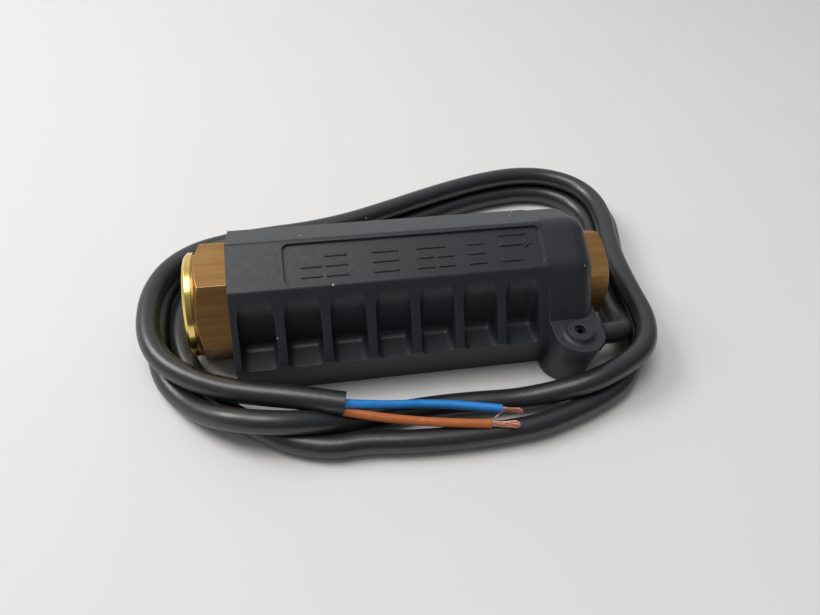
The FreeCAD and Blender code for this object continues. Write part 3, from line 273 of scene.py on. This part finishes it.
class Pattern(Bench):
    """A Geometry Nodes tree with named inputs, turned into a plain mesh when cut."""

    def __init__(self, name, **sizes):
        super().__init__(bpy.data.node_groups.new(name, "GeometryNodeTree"))
        sheet = self.tree.interface
        sheet.new_socket("Geometry", in_out="INPUT", socket_type="NodeSocketGeometry")
        sheet.new_socket("Geometry", in_out="OUTPUT", socket_type="NodeSocketGeometry")
        self.sizes, self.keys = sizes, {}
        for title, size in sizes.items():
            kind = "NodeSocketInt" if isinstance(size, int) else "NodeSocketFloat"
            self.keys[title] = sheet.new_socket(title, in_out="INPUT", socket_type=kind).identifier
        self.entry = self.tree.nodes.new("NodeGroupInput")
        self.start = Shade(self, self.entry.outputs["Geometry"])

    def size(self, title):
        return Shade(self, self.entry.outputs[title])

    def close(self, geometry, finish):
        """Ends the tree: real faces in one finish."""
        whole = self.node("GeometryNodeRealizeInstances", (), {0: geometry})
        dressed = self.node("GeometryNodeSetMaterial", (), {"Geometry": whole, "Material": finish})
        exit_node = self.tree.nodes.new("NodeGroupOutput")
        self.tree.links.new(dressed.socket, exit_node.inputs[0])

    def cut(self, holder):
        """The mesh that the tree makes on an object, which is thrown away."""
        step = holder.modifiers.new("pattern", "NODES")
        step.node_group = self.tree
        for title, key in self.keys.items():
            step[key] = self.sizes[title]
        bpy.context.view_layer.update()
        seen = holder.evaluated_get(bpy.context.evaluated_depsgraph_get())
        mesh = bpy.data.meshes.new_from_object(seen)
        holder.modifiers.remove(step)
        bpy.data.objects.remove(holder)
        return mesh


# -------------------------------------------------------------------- finishes
def housing_plastic():
    """Glass-filled moulded plastic: dark slate, satin, with a fine spark grain."""
    finish = Finish("housing_plastic", Specular_IOR_Level=0.5)
    grain = finish.noise(4200, detail=2)
    cloud = finish.noise(60, detail=3)
    handling = finish.noise(900, detail=3).between(0.50, 0.75)
    dust = finish.specks(130, 0.030)
    # Edge mask: lightens the edges below, partly as rubbed wear and partly as a painted highlight
    # along the ribs.
    edges = finish.worn_and_highlit_edges(0.0003)
    base = finish.mixed(cloud, (0.0180, 0.0205, 0.0250, 1), (0.0210, 0.0235, 0.0285, 1))
    # Lighter grey from random handling wear, and on the edges from rubbed wear plus a painted
    # highlight.
    wear_and_highlight = finish.mixed(handling * 0.12 + edges * 0.40, base, (0.085, 0.090, 0.098, 1))
    return finish.paint(Base_Color=finish.mixed(dust, wear_and_highlight, (0.66, 0.66, 0.64, 1)),
                        Roughness=0.42 + 0.05 * cloud - 0.05 * handling,
                        Normal=finish.relief(grain, 0.000022, edge=0.00035))


def machined_brass():
    """Bar brass: fine drawn lines along the flats, a bright turned collar."""
    finish = Finish("machined_brass", Metallic=1.0)
    lines = finish.noise(1, detail=5, place=finish.stretched((45, 3600, 3600)))
    streaks = finish.noise(1, detail=3, place=finish.stretched((25, 900, 900))).between(0.4, 0.62)
    turned_rings = finish.noise(1, detail=2, place=finish.stretched((9000, 40, 40)))
    collar = finish.along("x") < COLLAR_END
    # Edge mask: brightens the edges below, partly as rubbed wear and partly as a painted glint.
    edges = finish.worn_and_highlit_edges(0.00025)
    tarnish = finish.noise(140, detail=5).between(0.35, 0.75)
    base = finish.mixed(streaks, (0.42, 0.235, 0.085, 1), (0.52, 0.300, 0.115, 1))
    aged = finish.mixed(tarnish * 0.55, base, (0.36, 0.175, 0.06, 1))
    # Pale brass on the edges: rubbed wear and a painted highlight.
    bright = finish.mixed(edges, aged, (0.95, 0.74, 0.36, 1))
    polished = finish.mixed(collar, bright, (0.86, 0.64, 0.20, 1))
    height = finish.mixed(collar, lines, turned_rings)
    return finish.paint(Base_Color=polished,
                        Roughness=0.27 + 0.16 * lines - 0.19 * collar + 0.05 * tarnish,
                        Normal=finish.relief(height, 0.000022, edge=0.0002))


def cable_jacket():
    """Black flexible jacket, drawn smooth, with a few dust specks."""
    finish = Finish("cable_jacket", Specular_IOR_Level=0.85)
    drag = finish.noise(900, detail=3)
    smear = finish.noise(45, detail=3).between(0.4, 0.7)
    dust = finish.specks(110, 0.026)
    base = finish.mixed(drag, (0.0125, 0.0133, 0.0150, 1), (0.0180, 0.0190, 0.0210, 1))
    return finish.paint(Base_Color=finish.mixed(dust, base, (0.55, 0.55, 0.53, 1)),
                        Roughness=0.30 + 0.08 * drag + 0.06 * smear,
                        Normal=finish.relief(drag, 0.00004))


def insulation(name, colour, shade):
    """The thin coloured jacket of one core."""
    finish = Finish(name, Specular_IOR_Level=0.5)
    flow = finish.noise(600, detail=3)
    scuff = finish.noise(1500, detail=4).between(0.55, 0.8)
    return finish.paint(Base_Color=finish.mixed(scuff * 0.3, finish.mixed(flow, colour, shade),
                                                (0.55, 0.50, 0.46, 1)),
                        Roughness=0.36 + 0.1 * flow, Normal=finish.relief(flow, 0.00003))


def bare_copper():
    """Fine bare wire, brighter and darker in patches."""
    finish = Finish("bare_copper", Metallic=1.0)
    stain = finish.noise(1500, detail=4).between(0.3, 0.7)
    colour = finish.mixed(stain, (0.95, 0.56, 0.42, 1), (0.70, 0.30, 0.18, 1))
    return finish.paint(Base_Color=colour, Roughness=0.24 + 0.2 * stain)


def plain_metal(name, colour, roughness):
    """Steel and tinned parts: a light all-over scratch."""
    finish = Finish(name, Metallic=1.0)
    scratch = finish.noise(3000, detail=4)
    duller = tuple(channel * 0.8 for channel in colour[:3]) + (1,)
    return finish.paint(Base_Color=finish.mixed(scratch, colour, duller),
                        Roughness=roughness + 0.12 * scratch,
                        Normal=finish.relief(scratch, 0.00001))


def plain_moulding(name, colour, roughness):
    """Rubber, acetal and board: one colour with a fine surface."""
    finish = Finish(name)
    mottle = finish.noise(1800, detail=3)
    lighter = tuple(channel * 1.35 for channel in colour[:3]) + (1,)
    return finish.paint(Base_Color=finish.mixed(mottle, colour, lighter),
                        Roughness=roughness + 0.1 * mottle,
                        Normal=finish.relief(mottle, 0.00002))


def reed_tube_glass():
    """The reed's tube: thin, faintly green glass."""
    finish = Finish("reed_tube_glass", Transmission_Weight=0.9, IOR=1.5)
    tint = finish.noise(400, detail=2)
    colour = finish.mixed(tint, (0.55, 0.78, 0.62, 1), (0.65, 0.85, 0.72, 1))
    return finish.paint(Base_Color=colour, Roughness=0.05 + 0.04 * tint)


def table_top():
    """A plain pale sheet."""
    finish = Finish("table_top", Specular_IOR_Level=0.2)
    mottle = finish.noise(25, detail=2)
    colour = finish.mixed(mottle, (0.80, 0.795, 0.78, 1), (0.82, 0.815, 0.80, 1))
    return finish.paint(Base_Color=colour, Roughness=0.7 + 0.05 * mottle)


# ---------------------------------------------------------------- camera, light
def place_camera():
    """At its distance from the aim, turned by heading, dip and roll."""
    ahead = Vector((math.sin(HEADING) * math.cos(DIP), math.cos(HEADING) * math.cos(DIP),
                    -math.sin(DIP)))
    level = Vector((math.cos(HEADING), -math.sin(HEADING), 0))
    above = level.cross(ahead)
    right = math.cos(ROLL) * level + math.sin(ROLL) * above
    up = math.cos(ROLL) * above - math.sin(ROLL) * level
    camera = bpy.data.objects.new("camera", bpy.data.cameras.new("camera"))
    bpy.context.scene.collection.objects.link(camera)
    camera.data.lens, camera.data.sensor_width = LENS, SENSOR
    camera.data.clip_start, camera.data.clip_end = 0.01, 10
    turn = Matrix((right, up, -ahead)).transposed()
    camera.matrix_world = Matrix.Translation(AIM - ahead * DISTANCE) @ turn.to_4x4()
    bpy.context.scene.camera = camera


def place_light(name, place, aim, size, power, colour):
    lamp = bpy.data.lights.new(name, "AREA")
    lamp.shape, lamp.size, lamp.energy, lamp.color = "DISK", size, power, colour
    stand = bpy.data.objects.new(name, lamp)
    bpy.context.scene.collection.objects.link(stand)
    stand.location = place
    stand.rotation_euler = (Vector(aim) - Vector(place)).to_track_quat("-Z", "Y").to_euler()


def light_the_table():
    """A pale room, brighter behind, to the left and above, with a window and a ceiling light."""
    world = bpy.data.worlds.new("studio")
    world.use_nodes = True
    bpy.context.scene.world = world
    room = Bench(world.node_tree)
    backdrop = world.node_tree.nodes["Background"]
    gaze = room.node("ShaderNodeTexCoord", output="Generated")
    across, back, high = (room.node("ShaderNodeSeparateXYZ", (), {0: gaze}, output=axis)
                          for axis in "XYZ")
    wall = (back * 0.5 + 0.5) ** 3
    side = (0.5 - across * 0.5) ** 3
    room.feed(backdrop.inputs["Strength"], 0.03 + 0.70 * wall + 0.25 * side
              + 0.22 * high.between(0.2, 1.0))
    backdrop.inputs["Color"].default_value = (0.95, 0.97, 1.0, 1)
    bpy.context.scene.view_settings.view_transform = "Standard"
    place_light("window", (-0.50, 0.22, 0.55), (0, 0, 0), 0.35, 2.45, (1.0, 0.985, 0.965))
    place_light("ceiling", (-0.16, 0.02, 0.80), (0, 0, 0), 0.45, 2.35, (1.0, 0.985, 0.97))


def lay_table():
    """One large square, a hair below what stands on it."""
    mesh = bpy.data.meshes.new("table")
    reach, drop = 1.5, 0.0001
    mesh.from_pydata([(-reach, -reach, 0), (reach, -reach, 0), (reach, reach, 0),
                      (-reach, reach, 0)], [], [(0, 1, 2, 3)])
    table = bpy.data.objects.new("table", mesh)
    bpy.context.scene.collection.objects.link(table)
    table.data.materials.append(FINISHES["table"])
    table.location.z = -drop


# --------------------------------------------------------- cords and wound wire
def cord_curve(name, route, diameter, finish, steps):
    """A round cord on a smooth line drawn by the route's points."""
    curve = bpy.data.curves.new(name, "CURVE")
    curve.dimensions = "3D"
    spline = curve.splines.new("NURBS")
    spline.points.add(len(route) - 1)
    for point, place in zip(spline.points, route):
        point.co = (*place, 1)
    spline.order_u = 3
    spline.use_endpoint_u = True
    spline.resolution_u = steps
    curve.bevel_depth, curve.bevel_resolution = diameter / 2, 7
    curve.use_fill_caps = True
    curve.materials.append(finish)
    cord = bpy.data.objects.new(name, curve)
    bpy.context.scene.collection.objects.link(cord)
    return cord


def strands(name, line, count, flare, twist, reach=BUNDLE_DIAMETER * 0.40, wire=0.00014):
    """The mesh of fine wires twisted round a line, opening towards its end."""
    wires = Pattern(name, Count=count, Reach=reach, Twist=twist, Flare=flare, Wire=wire)
    path = wires.node("GeometryNodeResampleCurve", (), {"Curve": wires.start, "Count": 16})
    copies = wires.node("GeometryNodeDuplicateElements", {"domain": "SPLINE"},
                        {"Geometry": path, "Amount": wires.size("Count")})
    number = Shade(wires, copies.socket.node.outputs["Duplicate Index"])
    share = wires.node("GeometryNodeSplineParameter", output="Factor")
    angle = number * SEED_ANGLE + wires.size("Twist") * share
    away = wires.size("Reach") * ((number + 0.5) / wires.size("Count")) ** 0.5 \
        * (1 + wires.size("Flare") * share * share)
    across = wires.node("GeometryNodeInputNormal")
    ahead = wires.node("GeometryNodeInputTangent")
    above = wires.node("ShaderNodeVectorMath", {"operation": "CROSS_PRODUCT"},
                       {0: ahead, 1: across})
    sideways = wires.node("ShaderNodeVectorMath", {"operation": "SCALE"},
                          {0: across, "Scale": away * angle.cosine()})
    upwards = wires.node("ShaderNodeVectorMath", {"operation": "SCALE"},
                         {0: above, "Scale": away * angle.sine()})
    offset = wires.node("ShaderNodeVectorMath", {"operation": "ADD"}, {0: sideways, 1: upwards})
    spread = wires.node("GeometryNodeSetPosition", (), {"Geometry": copies, "Offset": offset})
    stop = wires.node("FunctionNodeRandomValue", {"data_type": "FLOAT"},
                      {"Min": 0.86, "Max": 1.0, "ID": number, "Seed": 4}, output=1)
    ragged = wires.node("GeometryNodeTrimCurve", (), {"Curve": spread, "End": stop})
    section = wires.node("GeometryNodeCurvePrimitiveCircle", (),
                         {"Resolution": 6, "Radius": wires.size("Wire")})
    skin = wires.node("GeometryNodeCurveToMesh", (),
                      {"Curve": ragged, "Profile Curve": section, "Fill Caps": True})
    wires.close(skin, FINISHES["copper"])
    return wires.cut(line)


def wound_wire(name, start, turns, radius, pitch, crest, finish):
    """The mesh of a thread's ridge or a spring's wire, wound along the tube from a start."""
    ridge = Pattern(name, Radius=radius, Pitch=pitch, Turns=turns, Crest=crest, Start=start)
    wound = ridge.node("GeometryNodeCurveSpiral", (), {
        "Resolution": 40, "Rotations": ridge.size("Turns"), "Start Radius": ridge.size("Radius"),
        "End Radius": ridge.size("Radius"), "Height": ridge.size("Turns") * ridge.size("Pitch")})
    upright = ridge.node("GeometryNodeSetCurveNormal", {"mode": "Z_UP"}, {"Curve": wound})
    section = ridge.node("GeometryNodeCurvePrimitiveCircle", (),
                         {"Resolution": 8, "Radius": ridge.size("Crest")})
    skin = ridge.node("GeometryNodeCurveToMesh", (),
                      {"Curve": upright, "Profile Curve": section, "Fill Caps": True})
    shift = ridge.node("ShaderNodeCombineXYZ", (), {"X": ridge.size("Start"), "Z": AXIS_HEIGHT})
    laid = ridge.node("GeometryNodeTransform", (), {
        "Geometry": skin, "Rotation": (0, math.pi / 2, 0), "Translation": shift})
    ridge.close(laid, FINISHES[finish])
    holder = bpy.data.objects.new("holder", bpy.data.meshes.new("holder"))
    bpy.context.scene.collection.objects.link(holder)
    return ridge.cut(holder)


def seat(name, mesh, smooth=True):
    """Makes a finished mesh a piece of the object."""
    mesh.name = name
    if smooth:
        mesh.shade_smooth()
    else:
        mesh.shade_flat()
    piece = bpy.data.objects.new(name, mesh)
    bpy.context.scene.collection.objects.link(piece)
    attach(piece, "case")
    return piece


def cut_threads():
    """The ridges of the pipe thread in both ports."""
    for name, start in (("inlet_thread", INLET_THREAD_START),
                        ("outlet_thread", OUTLET_THREAD_START)):
        ridge = wound_wire(name, start, THREAD_TURNS, PORT_RADIUS, THREAD_PITCH, THREAD_CREST,
                           "brass")
        seat(name, ridge, smooth=False)


def wind_spring():
    """The return spring, as a wound coil in place of the part's own mesh."""
    low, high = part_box("return_spring")
    margin = 1.1 * SPRING_WIRE
    radius = (high.y - low.y) / 2 - SPRING_WIRE
    pitch = (high.x - low.x - 2 * margin) / SPRING_TURNS
    coil = wound_wire("return_spring_coil", low.x + margin, SPRING_TURNS, radius, pitch,
                      SPRING_WIRE, "steel")
    spring = seat("return_spring_coil", coil)
    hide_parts("return_spring")
    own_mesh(spring)


def raised_plate(bm, outline, height):
    """A low plate on the label field, its sides drawn in a little; outline goes round (u, v)."""
    corners = [Vector(corner) for corner in outline]
    middle = sum(corners, Vector((0, 0))) / len(corners)
    rings = []
    for level, draft in ((-PLATE_ROOT, 0), (0, 0), (height, PLATE_DRAFT)):
        ring = []
        for corner in corners:
            u, v = corner + (middle - corner).normalized() * draft
            ring.append(bm.verts.new(LABEL_FOOT + Vector((u, 0, 0)) + LABEL_RISE * v
                                     + LABEL_OUT * level))
        rings.append(ring)
    for first, second in zip(rings, rings[1:]):
        for k in range(len(first)):
            following = (k + 1) % len(first)
            bm.faces.new((first[k], first[following], second[following], second[k]))
    bm.faces.new(rings[0][::-1])
    bm.faces.new(rings[-1])


def raised_line(bm, start, end, row, height):
    """A straight line on the label field, along x."""
    low, high = row - LINE_HALF, row + LINE_HALF
    raised_plate(bm, [(start, low), (end, low), (end, high), (start, high)], height)


def mark_label():
    """A plain flow arrow and blank rating lines, raised from the label field."""
    bm = bmesh.new()
    for start, end, rows in LABEL_LINES:
        for row in rows:
            raised_line(bm, start, end, row, LINE_HEIGHT)
    raised_line(bm, ARROW_TAIL, ARROW_NECK, ARROW_ROW, ARROW_HEIGHT)
    back = ARROW_NECK - ARROW_LAP
    raised_plate(bm, [(back, ARROW_ROW - ARROW_BARB), (ARROW_TIP, ARROW_ROW),
                      (back, ARROW_ROW + ARROW_BARB)], ARROW_HEIGHT)
    bmesh.ops.recalc_face_normals(bm, faces=bm.faces)
    mesh = bpy.data.meshes.new("label_marks")
    bm.to_mesh(mesh)
    bm.free()
    mesh.materials.append(FINISHES["housing"])
    seat("label_marks", mesh, smooth=False)


def lay_cords():
    """The cable, the two cores past its cut end, and their bare wires."""
    cable = cord_curve("cable_jacket", CABLE_ROUTE, CABLE_DIAMETER, FINISHES["cable"], 12)
    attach(cable, "case")
    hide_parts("cable")
    for colour, route, copper, flare in (("blue", BLUE_ROUTE, BLUE_COPPER, 0.15),
                                         ("brown", BROWN_ROUTE, BROWN_COPPER, 0.7)):
        core = cord_curve(f"{colour}_core_jacket", route, CORE_DIAMETER, FINISHES[colour], 12)
        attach(core, "case")
        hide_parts(f"{colour}_core")
        line = cord_curve("line", copper, 0, FINISHES["copper"], 6)
        wires = strands(f"{colour}_strand_pattern", line, 16, flare, 1.9)
        bundle = seat(f"{colour}_copper", wires)
        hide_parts(f"{colour}_strands")
        if colour == "brown":
            line = cord_curve("line", STRAY_WIRE, 0, FINISHES["copper"], 8)
            stray = strands("stray_strand_pattern", line, 2, 1.0, 1.0, 0.00008, 0.00008)
            seat("stray_copper", stray)


# ------------------------------------------------------- finishes on CAD pieces
def dress(node, finish):
    """One finish on a carried-over piece."""
    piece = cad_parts[node]
    piece.data.materials.clear()
    piece.data.materials.append(finish)


FINISHES = {
    "housing": housing_plastic(),
    "brass": machined_brass(),
    "cable": cable_jacket(),
    "blue": insulation("blue_insulation", (0.010, 0.21, 0.62, 1), (0.016, 0.27, 0.74, 1)),
    "brown": insulation("brown_insulation", (0.46, 0.115, 0.022, 1), (0.56, 0.16, 0.035, 1)),
    "copper": bare_copper(),
    "steel": plain_metal("bright_steel", (0.66, 0.66, 0.67, 1), 0.28),
    "blackened": plain_metal("blackened_steel", (0.05, 0.05, 0.055, 1), 0.35),
    "tinned": plain_metal("tinned_lead", (0.75, 0.74, 0.70, 1), 0.3),
    "magnet": plain_metal("sintered_magnet", (0.12, 0.12, 0.125, 1), 0.45),
    "piston": plain_moulding("acetal", (0.70, 0.68, 0.62, 1), 0.35),
    "rubber": plain_moulding("rubber", (0.014, 0.014, 0.015, 1), 0.55),
    "board": plain_moulding("glass_board", (0.05, 0.20, 0.08, 1), 0.4),
    "glass": reed_tube_glass(),
    "table": table_top(),
}
DRESSED = {
    "housing": ["housing", "base_cover"],
    "brass": ["flow_body", "outlet_fitting", "seat_ring", "crimp_sleeve_1", "crimp_sleeve_2"],
    "rubber": ["outlet_seal", "seat_washer", "cable_grommet"],
    "piston": ["piston", "magnet_cap", "spring_guide"],
    "magnet": ["ring_magnet"],
    "steel": ["circlip", "cover_screw_1", "cover_screw_2", "cover_screw_3", "cover_screw_4"],
    "blackened": ["cable_clamp_screw"],
    "board": ["carrier_board"],
    "glass": ["reed_glass"],
    "tinned": ["reed_lead_1", "reed_lead_2"],
    "cable": ["cable_root"],
    "blue": ["blue_tail"],
    "brown": ["brown_tail"],
}

place_camera()
lay_cords()
cut_threads()
wind_spring()
mark_label()
for finish, nodes in DRESSED.items():
    for node in nodes:
        dress(node, FINISHES[finish])
light_the_table()
lay_table()
